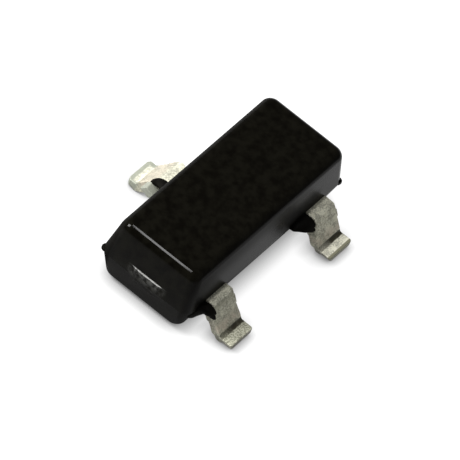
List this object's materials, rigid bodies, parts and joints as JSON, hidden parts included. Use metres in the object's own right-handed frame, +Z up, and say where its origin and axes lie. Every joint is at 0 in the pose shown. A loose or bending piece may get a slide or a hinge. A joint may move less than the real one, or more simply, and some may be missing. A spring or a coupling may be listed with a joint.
{
  "type": "sot-23 transistor",
  "caption": "Surface-mount transistor: a black drafted block of moulded resin on gull-wing tin-plated leads, for switching or amplifying small currents on a circuit board.",
  "frame": {"origin": "on the board, under the centre of the body and of the three feet", "axes": "+X along the body, +Y towards the single collector lead, +Z up from the board"},
  "size_m": [0.003, 0.0022, 0.001],
  "materials": {
    "mould_resin": "fine-grained matte top, smoother sides",
    "tinned_lead": "matte tin plating, mottled",
    "silicon": "polished",
    "attach_silver": "silver-filled adhesive",
    "bond_gold": "drawn wire"
  },
  "bodies": {
    "root": {"mould_body": "mould_resin", "base_lead": "tinned_lead", "emitter_lead": "tinned_lead", "collector_lead": "tinned_lead", "silicon_die": "silicon", "die_attach": "attach_silver", "base_bond_wire": "bond_gold", "emitter_bond_wire": "bond_gold"}
  },
  "joints": []
}
